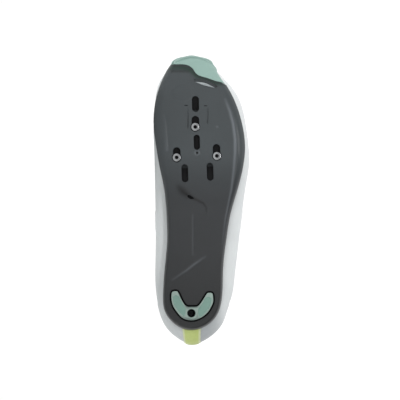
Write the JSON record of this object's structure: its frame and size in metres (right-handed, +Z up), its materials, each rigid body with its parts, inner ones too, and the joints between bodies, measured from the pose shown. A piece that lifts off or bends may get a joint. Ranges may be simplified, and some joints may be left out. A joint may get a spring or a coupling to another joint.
{
  "type": "road cycling shoe",
  "caption": "Left road cycling shoe with a stiff slotted composite sole, toe bumper, heel pad and hollow upper, lying on its medial side.",
  "frame": {"origin": "on the floor under the middle of the lying shoe's bounding box", "axes": "+Z up from the floor; the shoe lies on its medial side, toe to -X, sole facing -Y and lateral side up"},
  "size_m": [0.2892, 0.1042, 0.0955],
  "materials": {
    "composite": "satin lacquered carbon composite",
    "bumper_rubber": "matte moulded rubber, pale mint",
    "pad_rubber": "matte moulded rubber, mint",
    "steel": "nickel plated",
    "upper_microfibre": "white coated microfibre, a synthetic leather",
    "footbed_foam": "fabric covered foam",
    "tongue_lining": "padded knit",
    "strap": "coated microfibre strap",
    "heel_film": "lime film"
  },
  "bodies": {
    "root": {"sole_plate": "composite", "toe_bumper": "bumper_rubber", "heel_pad": "pad_rubber", "heel_pad_screw": "steel", "cleat_nut_front": "steel", "cleat_nut_medial": "steel", "cleat_nut_lateral": "steel", "upper": "upper_microfibre", "insole": "footbed_foam", "tongue": "tongue_lining", "strap_instep": "strap", "strap_forefoot": "strap", "heel_strip": "heel_film"}
  },
  "joints": []
}
